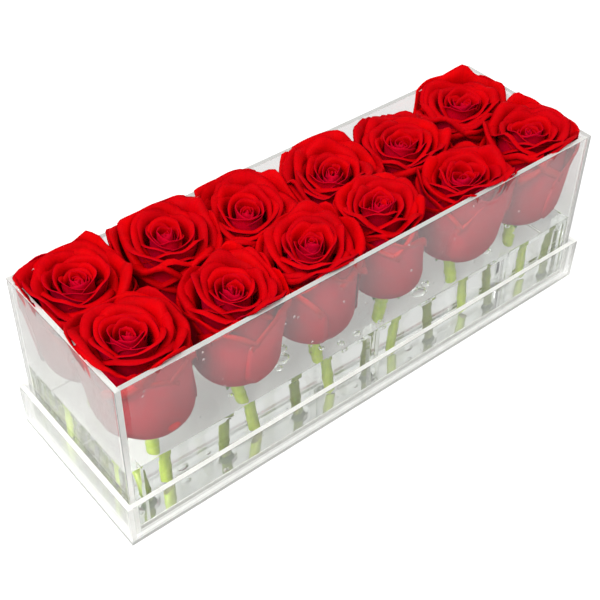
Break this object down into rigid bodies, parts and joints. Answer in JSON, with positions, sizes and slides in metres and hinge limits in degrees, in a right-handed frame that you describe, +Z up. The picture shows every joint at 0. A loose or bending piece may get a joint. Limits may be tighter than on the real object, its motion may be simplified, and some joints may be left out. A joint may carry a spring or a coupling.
{
  "type": "rose box",
  "caption": "Long clear acrylic box of open cut roses in two rows, their stems standing through a perforated plate in water, set in its own upturned lid as a tray",
  "frame": {"origin": "middle of the underside of the tray, on the surface the object stands on", "axes": "+X along the box's length, +Y across it to the back row of roses, +Z up"},
  "size_m": [0.328, 0.106, 0.111],
  "materials": {
    "clear_acrylic": "polished clear acrylic sheet with satin sawn edges",
    "water": "clear still water",
    "petal_red": "velvety fresh petal",
    "sepal_green": "matte leafy skin",
    "stem_green": "smooth fresh stem skin"
  },
  "bodies": {
    "root": {"tray_floor": "clear_acrylic", "tray_left_rim": "clear_acrylic", "tray_right_rim": "clear_acrylic", "tray_front_rim": "clear_acrylic", "tray_back_rim": "clear_acrylic", "box_floor": "clear_acrylic", "box_left_wall": "clear_acrylic", "box_right_wall": "clear_acrylic", "box_front_wall": "clear_acrylic", "box_back_wall": "clear_acrylic", "rose_plate": "clear_acrylic", "plate_post_front_left": "clear_acrylic", "plate_post_front_middle": "clear_acrylic", "plate_post_front_right": "clear_acrylic", "plate_post_back_left": "clear_acrylic", "plate_post_back_middle": "clear_acrylic", "plate_post_back_right": "clear_acrylic", "water": "water", "rose_front_1_stem": "stem_green", "rose_front_1_calyx": "sepal_green", "rose_front_1_bloom": "petal_red", "rose_front_2_stem": "stem_green", "rose_front_2_calyx": "sepal_green", "rose_front_2_bloom": "petal_red", "rose_front_3_stem": "stem_green", "rose_front_3_calyx": "sepal_green", "rose_front_3_bloom": "petal_red", "rose_front_4_stem": "stem_green", "rose_front_4_calyx": "sepal_green", "rose_front_4_bloom": "petal_red", "rose_front_5_stem": "stem_green", "rose_front_5_calyx": "sepal_green", "rose_front_5_bloom": "petal_red", "rose_front_6_stem": "stem_green", "rose_front_6_calyx": "sepal_green", "rose_front_6_bloom": "petal_red", "rose_back_1_stem": "stem_green", "rose_back_1_calyx": "sepal_green", "rose_back_1_bloom": "petal_red", "rose_back_2_stem": "stem_green", "rose_back_2_calyx": "sepal_green", "rose_back_2_bloom": "petal_red", "rose_back_3_stem": "stem_green", "rose_back_3_calyx": "sepal_green", "rose_back_3_bloom": "petal_red", "rose_back_4_stem": "stem_green", "rose_back_4_calyx": "sepal_green", "rose_back_4_bloom": "petal_red", "rose_back_5_stem": "stem_green", "rose_back_5_calyx": "sepal_green", "rose_back_5_bloom": "petal_red", "rose_back_6_stem": "stem_green", "rose_back_6_calyx": "sepal_green", "rose_back_6_bloom": "petal_red"}
  },
  "joints": []
}
